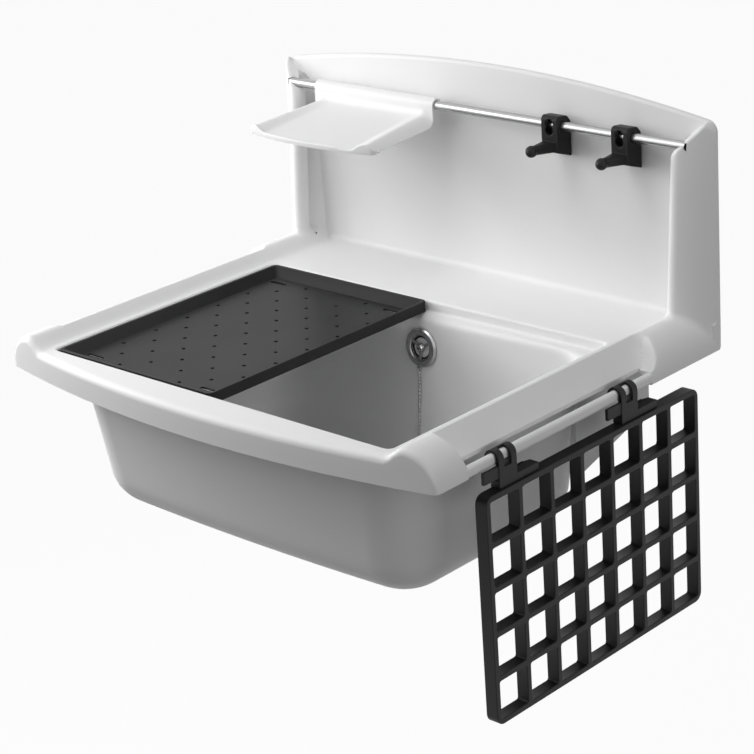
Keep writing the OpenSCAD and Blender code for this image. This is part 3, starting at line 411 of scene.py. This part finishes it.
def splashback():
    """The upright plate: one closed section, carried along the wall.

    The section runs from under the deck round a fillet up the front, over the rounded top edge
    and down the back. Its top follows the dome.
    """
    end = SPLASH_CORNER / HALF * (1 - np.cos(np.linspace(0.15, math.pi / 2, 9)))
    s = np.r_[-1, -1 + end, np.linspace(-0.96, 0.96, 75), 1 - end[::-1], 1]
    x = HALF * s
    top = dome(x)
    a = np.linspace(0, math.pi / 2, 7)
    section = [(-WALL - DECK_FILLET, SPLASH_FOOT), (-WALL - DECK_FILLET, -1)]
    section += [(-WALL - DECK_FILLET * (1 - math.sin(t)), DECK_FILLET * (1 - math.cos(t)))
                for t in a]
    section += [(-WALL, DECK_FILLET + (top - SPLASH_EDGE - DECK_FILLET) * f)
                for f in (0.25, 0.5, 0.75)]
    section += [(-WALL + SPLASH_EDGE * (1 - math.cos(t)), top - SPLASH_EDGE * (1 - math.sin(t)))
                for t in a]
    section += [(0, top - 0.2), (0, SPLASH_FOOT)]
    grid = np.array([np.c_[x, np.broadcast_to(y, len(x)), np.broadcast_to(z, len(x))]
                     for y, z in section]).transpose(1, 0, 2)
    n, m = grid.shape[:2]
    faces = grid_faces(n, m, False)
    faces += [tuple(range(m))[::-1], tuple((n - 1) * m + k for k in range(m))]
    return piece("splashback", grid.reshape(-1, 3), faces)


FIN_IN, FIN_NOSE_X, FIN_NOSE_R, FIN_EDGE_R = 247.5, 268.0, 9.0, 5.0
FIN_NOSE_Y, FIN_LEAN, FIN_FLARE_R = -32.0, 0.066, 8.0
FLARE_DEPTH, FLARE_X = 12.0, 275.0
FIN_CENTRE = (271.5, -13.0)
FIN_TRIM = np.array([-0.607, -0.281, 0.744])
FIN_TRIM_AT = np.array([256.0, -31.0, 174.0])


def fin_line(inset, flare, height):
    """A fin's plan outline at a height, as (x, y): its inner face, round nose and outer face.

    The inner face is straight and touches the nose's circle; the outer face is an arc that leaves
    the circle at 60 degrees and ends at the splashback's corner. The nose leans back to the wall.
    The outline is drawn in by inset; flare widens it where it lands on the rim, fading to none
    at the wall.
    """
    centre = np.array([FIN_NOSE_X, FIN_NOSE_Y + FIN_LEAN * height])
    root = np.array([FIN_IN, 2.0])
    gap = centre - root
    facing = math.atan2(gap[1], gap[0]) - math.acos(FIN_NOSE_R / np.linalg.norm(gap)) + math.pi
    a = np.linspace(facing, math.radians(300), 17)
    nose = centre + FIN_NOSE_R * np.c_[np.cos(a), np.sin(a)]
    t = np.linspace(0, 1, 9)[:-1, None]
    inner = root * (1 - t) + nose[0] * t
    chord = np.array([HALF - 0.1, -WALL]) - nose[-1]
    half_turn = math.atan2(chord[1], chord[0]) - math.radians(30)
    radius = np.linalg.norm(chord) / (2 * math.sin(half_turn))
    b = math.radians(-60) + 2 * half_turn * np.arange(1, 13) / 12
    middle = nose[-1] - radius * np.array([0.5, -math.sqrt(0.75)])
    outer = middle + radius * np.c_[np.cos(b), np.sin(b)]
    line = np.r_[inner, nose, outer, [[HALF - 0.1, 2.0]]]
    step = np.gradient(line, axis=0)
    out = np.c_[step[:, 1], -step[:, 0]] / np.linalg.norm(step, axis=1)[:, None]
    fade = np.clip(-line[:, 1] / FLARE_DEPTH, 0, 1)
    fade *= np.clip((HALF - line[:, 0]) / (HALF - FLARE_X), 0, 1)
    return line - out * inset + out * (flare * fade)[:, None]


def fin(side, skin, low, reach, name):
    """One fin as a closed blade: an outline carried upward, flared at its foot, trimmed aslant.

    It starts at the height low and ends under the height reach.
    Above its foot's quarter-circle flare the outline goes up to the trim plane or the dome, turns
    in over a quarter circle and is closed there. With skin the same form is the hollow.
    """
    rows = []
    flare_r = 0 if skin else FIN_FLARE_R
    edge = 1.0 if skin else FIN_EDGE_R

    def trim(plan):
        slant = (plan - FIN_TRIM_AT[:2]) @ FIN_TRIM[:2]
        ceiling = np.minimum(dome(np.minimum(plan[:, 0], HALF)), reach)
        return smooth_min(FIN_TRIM_AT[2] - slant / FIN_TRIM[2], ceiling, 2)

    line = fin_line(skin, 0, 0)
    rows.append(np.c_[line, np.full(len(line), low)])
    if flare_r:
        wide = fin_line(0, flare_r, 0)
        wide[:, 0] = np.minimum(wide[:, 0], HALF - 0.1)
        rows.append(np.c_[wide, rim_top(*wide.T) - 2])
        for a in np.linspace(0, math.pi / 2, 8):
            plan = fin_line(0, flare_r * (1 - math.sin(a)), 0)
            plan[:, 0] = np.minimum(plan[:, 0], HALF - 0.1)
            rows.append(np.c_[plan, rim_top(*plan.T) - 0.4 + flare_r * (1 - math.cos(a))])
    tall = min(reach, FIN_TRIM_AT[2])
    line = fin_line(skin, 0, tall)
    head = trim(line) - edge / FIN_TRIM[2] * 0.8
    foot = rows[-1][:, 2]
    for f in (0.25, 0.5, 0.75):
        rows.append(np.c_[fin_line(skin, 0, tall * f), foot + (head - foot) * f])
    for a in np.linspace(0, math.pi / 2, 7):
        plan = fin_line(skin + edge * (1 - math.cos(a)), 0, tall)
        rows.append(np.c_[plan, trim(plan) - edge / FIN_TRIM[2] * 0.8 * (1 - math.sin(a))])
    centre = np.array([FIN_CENTRE])
    top = rows[-1]
    for f in (0.4, 0.8):
        plan = top[:, :2] * (1 - f) + centre * f
        rows.append(np.c_[plan, trim(plan)])
    n, m = len(rows), len(line)
    points = np.concatenate(rows + [np.c_[centre, trim(centre)], [[*FIN_CENTRE, low]]])
    faces = grid_faces(n, m, False)
    last = (n - 1) * m
    faces += [(last + j, last + (j + 1) % m, n * m) for j in range(m)]
    faces += [((j + 1) % m, j, n * m + 1) for j in range(m)]
    if side < 0:
        points = points * (-1, 1, 1)
        faces = [f[::-1] for f in faces]
    return piece(name, points, faces)


def prism_faces(n):
    """The sides and the two flat ends of a prism whose ends are outlines of n points."""
    return grid_faces(2, n, False) + [tuple(range(n))[::-1], tuple(range(n, 2 * n))]


def rod(name, start, end, r, n=48):
    """A round rod: a circle carried from start to end, closed by flat ends."""
    start, end = np.array(start, float), np.array(end, float)
    axis = (end - start) / np.linalg.norm(end - start)
    u = np.cross(axis, [0, 0, 1] if abs(axis[2]) < 0.9 else [1, 0, 0])
    u /= np.linalg.norm(u)
    v = np.cross(axis, u)
    a = np.linspace(0, 2 * math.pi, n, endpoint=False)
    circle = r * (np.cos(a)[:, None] * u + np.sin(a)[:, None] * v)
    return piece(name, np.r_[start + circle, end + circle], prism_faces(n))


def slab(name, outline, axis, low, high):
    """A flat outline carried straight along an axis from low to high, closed by flat ends."""
    outline = np.array(outline, float)
    n = len(outline)
    other = [i for i in range(3) if i != axis]
    points = np.zeros((2 * n, 3))
    points[:n, other], points[n:, other] = outline, outline
    points[:n, axis], points[n:, axis] = low, high
    return piece(name, points, prism_faces(n))


def outward(thing):
    """Turns a closed mesh's faces outward, by the sign of the volume that they enclose."""
    mesh = thing.data
    co = np.zeros(len(mesh.vertices) * 3)
    mesh.vertices.foreach_get("co", co)
    co = co.reshape(-1, 3)
    mesh.calc_loop_triangles()
    tri = np.zeros(len(mesh.loop_triangles) * 3, int)
    mesh.loop_triangles.foreach_get("vertices", tri)
    a, b, c = co[tri.reshape(-1, 3)].transpose(1, 0, 2)
    if np.einsum("ij,ij->i", a, np.cross(b, c)).sum() < 0:
        mesh.flip_normals()
    return thing


def combine(thing, others, how):
    """Joins others to thing or cuts them out of it, and leaves one mesh."""
    for other in others:
        outward(other)
        change = thing.modifiers.new("combine", "BOOLEAN")
        change.operation = how
        change.solver = "MANIFOLD"
        change.object = other
    bpy.context.view_layer.update()
    scene_now = bpy.context.evaluated_depsgraph_get()
    made = bpy.data.meshes.new_from_object(thing.evaluated_get(scene_now))
    thing.modifiers.clear()
    old, thing.data = thing.data, made
    bpy.data.meshes.remove(old)
    for other in others:
        bpy.data.objects.remove(other)
    return thing


RAIL_Y, RAIL_Z, RAIL_R = -20.5, 188.0, 5.0
MOUTH_FROM, MOUTH_TO, MOUTH_GAP = 240.0, 279.0, 0.4
BOLT_X, BOLT_R, BOLT_Z, BOSS_R, BOSS_L = 140.0, 5.5, -15.0, 13.5, 8.0
SKIRT_IN, SKIRT_OUT, FIN_FOOT = 236.0, 241.0, -27.0
HOLLOW_WALL, HOLLOW_TOP = 4.0, 150.0
BEYOND = 400.0
NO_CEILING = 999.0
moulding = outward(tub())
skirt_line = [(-46, -3), (-46, -92), (-168, -127), (-168, -3)]
added = [splashback(), fin(1, 0, FIN_FOOT, NO_CEILING, "fin_right"),
         fin(-1, 0, FIN_FOOT, NO_CEILING, "fin_left"),
         slab("skirt_right", skirt_line, 0, SKIRT_IN, SKIRT_OUT),
         slab("skirt_left", skirt_line, 0, -SKIRT_OUT, -SKIRT_IN)]
added += [rod("boss", (x, -0.05, BOLT_Z), (x, -BOSS_L, BOLT_Z), BOSS_R) for x in (-BOLT_X, BOLT_X)]
combine(moulding, added, "UNION")
cut = [fin(1, HOLLOW_WALL, -40, HOLLOW_TOP, "core_right"),
       fin(-1, HOLLOW_WALL, -40, HOLLOW_TOP, "core_left"),
       slab("behind_wall", [(-BEYOND, -BEYOND), (BEYOND, -BEYOND), (BEYOND, BEYOND),
                            (-BEYOND, BEYOND)], 1, 0, 40)]
slot_end = HALF + 9
slot_line = [(SLOT_IN, SLOT_FRONT), (slot_end, SLOT_FRONT), (slot_end, SLOT_BACK),
             (SLOT_IN, SLOT_BACK)]
half_turn = np.linspace(0, math.pi, 15)
bar_line = [(HALF - BAR_R + BAR_R * math.cos(a), BAR_TOP - BAR_R + BAR_R * math.sin(a))
            for a in half_turn]
bar_line += [(HALF - BAR_R - BAR_R * math.cos(a), BAR_FOOT + BAR_R - BAR_R * math.sin(a))
             for a in half_turn]
bars = []
for side in (-1, 1):
    cut.append(slab("slot", [(side * x, y) for x, y in slot_line], 2, -50, 5))
    cut.append(rod("rail_mouth", (side * MOUTH_FROM, RAIL_Y, RAIL_Z),
                   (side * MOUTH_TO, RAIL_Y, RAIL_Z), RAIL_R + MOUTH_GAP))
    cut.append(rod("bolt_hole", (side * BOLT_X, 5, BOLT_Z), (side * BOLT_X, -14, BOLT_Z), BOLT_R))
    bars.append(slab("bar", [(side * x, z) for x, z in bar_line], 1, SLOT_FRONT - 2, SLOT_BACK + 2))
combine(moulding, cut, "DIFFERENCE")
combine(moulding, bars, "UNION")
moulding.name = "moulding"
shade_smooth(moulding.data, 38)
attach(moulding, "sink")
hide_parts("sink_moulding")


# the pointiness over which sharp edges take their painted highlight, and the roughness drift
EDGE_FROM, EDGE_TO, ROUGH_DRIFT = 0.52, 0.62, 0.14


def finish_of(name, colour, rough, mottle=0.03, mottle_scale=9.0, bump=0.02, bump_scale=260.0,
              metal=0.0, gloss=0.5, stretch=(1, 1, 1), edge=0.0):
    """A moulded or drawn finish, worked out from the place on the piece.

    Its colour and its roughness drift slowly with a broad noise, a fine noise raises its grain,
    and sharp edges, found by their pointiness, are lighter by edge as a painted highlight.
    Stretch scales the place first, so that a small number along one axis draws the grain out
    along it.
    """
    made = bpy.data.materials.new(name)
    made.use_nodes = True
    tree = made.node_tree
    shader = tree.nodes["Principled BSDF"]
    place = tree.nodes.new("ShaderNodeTexCoord")
    spread = tree.nodes.new("ShaderNodeMapping")
    spread.inputs["Scale"].default_value = stretch
    tree.links.new(place.outputs["Object"], spread.inputs["Vector"])
    drift = tree.nodes.new("ShaderNodeTexNoise")
    drift.inputs["Scale"].default_value = mottle_scale
    drift.inputs["Detail"].default_value = 4
    tree.links.new(spread.outputs["Vector"], drift.inputs["Vector"])
    tone = tree.nodes.new("ShaderNodeMapRange")
    tone.inputs["To Min"].default_value = 1 - mottle
    tone.inputs["To Max"].default_value = 1 + mottle
    tree.links.new(drift.outputs["Fac"], tone.inputs["Value"])
    amount = tone.outputs["Result"]
    # painted highlight: edges with high pointiness are made lighter in colour, by up to edge
    if edge:
        surface = tree.nodes.new("ShaderNodeNewGeometry")
        painted_edge_highlight = tree.nodes.new("ShaderNodeMapRange")
        painted_edge_highlight.inputs["From Min"].default_value = EDGE_FROM
        painted_edge_highlight.inputs["From Max"].default_value = EDGE_TO
        painted_edge_highlight.inputs["To Max"].default_value = edge
        tree.links.new(surface.outputs["Pointiness"], painted_edge_highlight.inputs["Value"])
        amount = worked_out(tree, "ADD", amount, painted_edge_highlight.outputs["Result"])
    shade = tree.nodes.new("ShaderNodeVectorMath")
    shade.operation = "SCALE"
    shade.inputs[0].default_value = colour
    tree.links.new(amount, shade.inputs["Scale"])
    tree.links.new(shade.outputs["Vector"], shader.inputs["Base Color"])
    roughness = tree.nodes.new("ShaderNodeMapRange")
    roughness.inputs["To Min"].default_value = rough * (1 - ROUGH_DRIFT)
    roughness.inputs["To Max"].default_value = rough * (1 + ROUGH_DRIFT)
    tree.links.new(drift.outputs["Fac"], roughness.inputs["Value"])
    tree.links.new(roughness.outputs["Result"], shader.inputs["Roughness"])
    grain = tree.nodes.new("ShaderNodeTexNoise")
    grain.inputs["Scale"].default_value = bump_scale
    grain.inputs["Detail"].default_value = 3
    tree.links.new(spread.outputs["Vector"], grain.inputs["Vector"])
    raise_it = tree.nodes.new("ShaderNodeBump")
    raise_it.inputs["Strength"].default_value = bump
    raise_it.inputs["Distance"].default_value = MM
    tree.links.new(grain.outputs["Fac"], raise_it.inputs["Height"])
    tree.links.new(raise_it.outputs["Normal"], shader.inputs["Normal"])
    shader.inputs["Metallic"].default_value = metal
    shader.inputs["Specular IOR Level"].default_value = gloss
    return made


def wear(thing, material):
    """Gives a piece one material in place of any that it has."""
    thing.data.materials.clear()
    thing.data.materials.append(material)


white_moulded = finish_of("white_moulded", (0.86, 0.86, 0.86), 0.46, mottle=0.012, bump=0.05,
                          bump_scale=420, gloss=0.42)
wear(moulding, white_moulded)


# ---- The rail ----
# A polished rod of stainless steel, pushed through the left fin's hole and into the right one's.
# It is drawn through a die, so its fine lines run along it.
polished_steel = finish_of("polished_steel", (0.47, 0.47, 0.475), 0.27, mottle=0.05,
                           mottle_scale=3, bump=0.03, bump_scale=40, metal=1.0,
                           stretch=(1, 40, 40))
wear(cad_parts["steel_rail"], polished_steel)


# ---- The soap tray ----
# A thin moulding in the white of the sink, hung on the rail by the curl at the top of its back
# plate. Its floor falls to the front, where a bead holds the soap back except at one notch.
TRAY_X, TRAY_HALF, TRAY_TAPER, TRAY_WALL = -144.0, 94.0, 5.0, 2.2
TRAY_FRONT, TRAY_BOW, TRAY_CORNER = -141.0, 11.0, 5.0
TRAY_LOW, TRAY_RISE, TRAY_SKIRT = 163.0, 12.0, 3.8
PLATE_Y, PLATE_FILLET, CURL_R, CURL_END = -28.2, 8.0, 7.7, 184.3
BEAD_H, BEAD_D, BEAD_EDGE = 1.5, 5.0, 1.2
NOTCH_FROM, NOTCH_TO, NOTCH_EDGE = 51.0, 72.0, 3.0
# the end ridges, each value at the front and at the back
RIDGE_FOOT, RIDGE_CREST, RIDGE_H, RIDGE_END = (64, 58), (84, 75), (6, 1.5), (-1, -10)
RIDGE_POWER = 1.5


def tray_height(x, v):
    """Height of the tray's upper face at x from its middle and v from front, 0, to back, 1.

    A floor that rises to the back; at each end a half cosine wave up to a ridge, and from there a
    fall to the end as the 1.5th power of the way.
    """
    ax = np.abs(x)
    foot, crest, high, low = (front + (back - front) * v for front, back in
                              (RIDGE_FOOT, RIDGE_CREST, RIDGE_H, RIDGE_END))
    end = TRAY_HALF - TRAY_TAPER * v
    rise = high * (1 - np.cos(np.pi * np.clip((ax - foot) / (crest - foot), 0, 1))) / 2
    fall = (low - high) * np.clip((ax - crest) / (end - crest), 0, 1) ** RIDGE_POWER
    return TRAY_LOW + TRAY_RISE * v + rise + fall


def soap_tray():
    """The tray's upper skin as rows from the bottom of its front, up over the bead, along the
    floor, round a fillet up the back plate and round the rail as a half circle."""
    half = np.r_[np.linspace(0, 0.6, 12)[:-1], 0.6 + 0.4 * np.sin(np.linspace(0, math.pi / 2, 27))]
    u = np.r_[-half[:0:-1], half]
    front = TRAY_FRONT + TRAY_BOW * u ** 2 + round_off(TRAY_HALF * (1 - np.abs(u)), TRAY_CORNER)
    lean = math.atan(TRAY_RISE / (PLATE_Y - TRAY_FRONT))
    back = PLATE_Y - PLATE_FILLET * (1 - math.sin(lean))
    at_front = TRAY_HALF * u
    beaded = (np.clip((NOTCH_FROM - at_front) / NOTCH_EDGE, 0, 1)
              + np.clip((at_front - NOTCH_TO + NOTCH_EDGE) / NOTCH_EDGE, 0, 1))

    def over(d):
        """Points of the upper face at the distance d behind the front edge."""
        v = d / (back - front)
        x = u * (TRAY_HALF - TRAY_TAPER * v)
        way = np.clip((d - BEAD_EDGE) / (BEAD_D - BEAD_EDGE), 0, 1)
        bead = BEAD_H * (1 + np.cos(np.pi * way)) / 2
        return np.c_[x, front + d, tray_height(x, v) + beaded * bead]

    foot_z = TRAY_LOW - TRAY_SKIRT
    rows = []
    edge = np.minimum(BEAD_EDGE, 0.8 * (over(0.0)[:, 2] - foot_z))
    for a in np.linspace(0, math.pi / 2, 7):
        row = over(edge * (1 - math.cos(a)))
        row[:, 2] -= edge * (1 - math.sin(a))
        rows.append(row)
    for f in (0.5, 0):
        rows.insert(0, np.c_[rows[0][:, :2], foot_z + (rows[0][:, 2] - foot_z) * f])
    for d in np.linspace(BEAD_EDGE + 0.6, BEAD_D, 7):
        rows.append(over(np.full_like(u, d)))
    for f in np.arange(1, 29) / 28:
        rows.append(over(BEAD_D + (back - front - BEAD_D) * f))
    end = rows[-1]
    x = end[:, 0]

    def across_at(y, z):
        """A row of points at y and z, as wide as the tray's back."""
        return np.c_[x, np.broadcast_to(y, len(x)), np.broadcast_to(z, len(x))]

    turn_z = end[:, 2] + PLATE_FILLET * math.cos(lean)
    for a in np.linspace(lean, math.pi / 2, 8)[1:]:
        rows.append(across_at(PLATE_Y - PLATE_FILLET * (1 - math.sin(a)),
                              turn_z - PLATE_FILLET * math.cos(a)))
    for f in (0.33, 0.66):
        rows.append(across_at(PLATE_Y, turn_z + (RAIL_Z - turn_z) * f))
    for a in np.linspace(math.pi, 0, 17):
        rows.append(across_at(RAIL_Y + CURL_R * math.cos(a), RAIL_Z + CURL_R * math.sin(a)))
    rows.append(across_at(RAIL_Y + CURL_R, CURL_END))
    points = np.concatenate(rows) + (TRAY_X, 0, 0)
    n, m = len(rows), len(u)
    i, j = np.arange(n - 1)[:, None] * m, np.arange(m - 1)[None, :]
    faces = np.stack([i + j, i + j + 1, i + m + j + 1, i + m + j], -1).reshape(-1, 4)
    return piece("soap_dish", points, faces.tolist(), sharp=60)


def thicken(thing, wall, edge):
    """Gives an open skin a wall on its inner side, and rounds the edges of that wall."""
    shell = thing.modifiers.new("wall", "SOLIDIFY")
    shell.thickness = wall * MM
    shell.offset = -1
    rim = thing.modifiers.new("rim", "BEVEL")
    rim.width = edge * MM
    rim.segments = 3
    rim.limit_method = "ANGLE"
    rim.angle_limit = math.radians(50)
    return thing


soap_dish = thicken(soap_tray(), TRAY_WALL, 0.7)
wear(soap_dish, white_moulded)
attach(soap_dish, "soap")
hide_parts("soap_tray")


# ---- The coat hooks ----
# Two hooks of black glass-filled nylon that clip over the rail and lean on the splashback. A
# keyhole through the front lets the clip spring open, and each arm ends in a ball.
EDGE_STEPS, CREASE = 3, 30


def refined(name, node, edge):
    """A solid's mesh with its doubles merged, its flat faces joined and its edges rounded."""
    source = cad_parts[node].data
    points = np.empty(len(source.vertices) * 3)
    source.vertices.foreach_get("co", points)
    corner = np.empty(len(source.loops), int)
    source.loops.foreach_get("vertex_index", corner)
    points = points.reshape(-1, 3)
    _, first, same = np.unique(np.round(points * 1e6).astype(int), axis=0, return_index=True,
                               return_inverse=True)
    faces = same.reshape(-1)[corner].reshape(-1, 3)
    whole = (faces != np.roll(faces, 1, axis=1)).all(axis=1)
    mesh = bpy.data.meshes.new(name)
    mesh.from_pydata(points[first].tolist(), [], faces[whole].tolist())
    shape = bmesh.new()
    shape.from_mesh(mesh)
    bmesh.ops.dissolve_limit(shape, angle_limit=math.radians(0.5), verts=shape.verts,
                             edges=shape.edges)
    shape.to_mesh(mesh)
    shape.free()
    mesh.polygons.foreach_set("use_smooth", np.ones(len(mesh.polygons), bool))
    thing = bpy.data.objects.new(name, mesh)
    bpy.context.scene.collection.objects.link(thing)
    soften = thing.modifiers.new("edges", "BEVEL")
    soften.width = edge * MM
    soften.segments = EDGE_STEPS
    soften.limit_method = "ANGLE"
    soften.angle_limit = math.radians(CREASE)
    soften.use_clamp_overlap = False
    soften.harden_normals = True
    return thing


def dress(thing, body, node, material):
    """Puts a finished piece in place of a solid, on its body and with its finish."""
    wear(thing, material)
    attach(thing, body)
    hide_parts(node)


# edge lightens the sharp edges of every piece in this finish as a painted highlight
black_moulded = finish_of("black_moulded", (0.012, 0.012, 0.0124), 0.42, mottle=0.12, bump=0.10,
                          bump_scale=900, gloss=0.2, edge=0.5)
for side, body in (("left", "hook_l"), ("right", "hook_r")):
    dress(refined("coat_hook_" + side, "hook_" + side, 0.8), body, "hook_" + side,
          black_moulded)


# ---- The drainer tray ----
# A shallow tray of black polypropylene in the rebate over the bowl's left half, which drains
# through a pattern of holes and four slots.
dress(refined("drainer", "drainer_tray", 0.5), "drainer", "drainer_tray",
      black_moulded)


# ---- The side grating and its clips ----
# A moulded grid of black polypropylene that hangs beside the sink. Two clips snap over its top
# bar and hook over the bar along the rim's side, so that it swings.
dress(refined("side_grid", "side_grating", 1.0), "grating", "side_grating",
      black_moulded)
for end in ("front", "rear"):
    dress(refined("grid_clip_" + end, "grating_clip_" + end, 0.6), "grating",
          "grating_clip_" + end, black_moulded)


# ---- The overflow ----
# A satin chrome rosette held by one screw into an elbow behind the bowl. A ribbed hose leads
# from the elbow down to the waste.
chrome = finish_of("chrome_plate", (0.44, 0.44, 0.45), 0.34, mottle=0.05, mottle_scale=60,
                   bump=0.02, bump_scale=500, metal=1.0)
soft_rubber = finish_of("soft_rubber", (0.024, 0.024, 0.024), 0.62, mottle=0.15, mottle_scale=40,
                        bump=0.12, bump_scale=700, gloss=0.3, edge=0.3)
dark_plastic = finish_of("dark_plastic", (0.016, 0.016, 0.017), 0.5, mottle=0.08, bump=0.06,
                         bump_scale=500, gloss=0.2, edge=0.3)
ribbed_grey = finish_of("ribbed_grey", (0.42, 0.43, 0.44), 0.5, mottle=0.05, mottle_scale=30,
                        bump=0.05, bump_scale=500)
dress(refined("rosette", "overflow_rosette", 0.3), "sink", "overflow_rosette", chrome)
dress(refined("rosette_screw", "overflow_screw", 0.25), "sink", "overflow_screw",
      polished_steel)
dress(refined("elbow_seal", "overflow_seal", 0.3), "sink", "overflow_seal", soft_rubber)
dress(refined("elbow", "overflow_elbow", 0.5), "sink", "overflow_elbow", dark_plastic)
dress(refined("hose", "overflow_hose", 0.4), "sink", "overflow_hose", ribbed_grey)


# ---- The plug and its chain ----
# A black rubber plug on a bright ball chain, whose top eye hangs from the rosette's lug.
dress(refined("drain_plug", "plug", 0.5), "stopper", "plug", soft_rubber)
for name in ("plug_chain", "plug_ring"):
    wear(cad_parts[name], chrome)


# ---- The waste ----
# A flanged bowl of plated steel seated in the sink's floor, drawn down by a long screw onto the
# white body below, with a rubber seal on each side of the floor.
pipe_white = finish_of("pipe_white", (0.78, 0.78, 0.775), 0.42, mottle=0.02, bump=0.05,
                       bump_scale=400, edge=0.02)
dress(refined("waste_flange", "drain_flange", 0.3), "sink", "drain_flange", chrome)
dress(refined("waste_screw", "drain_screw", 0.25), "sink", "drain_screw", polished_steel)
dress(refined("flange_seal", "drain_seal", 0.3), "sink", "drain_seal", soft_rubber)
dress(refined("body_seal", "waste_seal", 0.3), "sink", "waste_seal", soft_rubber)
dress(refined("waste_cup", "waste_body", 0.6), "sink", "waste_body", pipe_white)
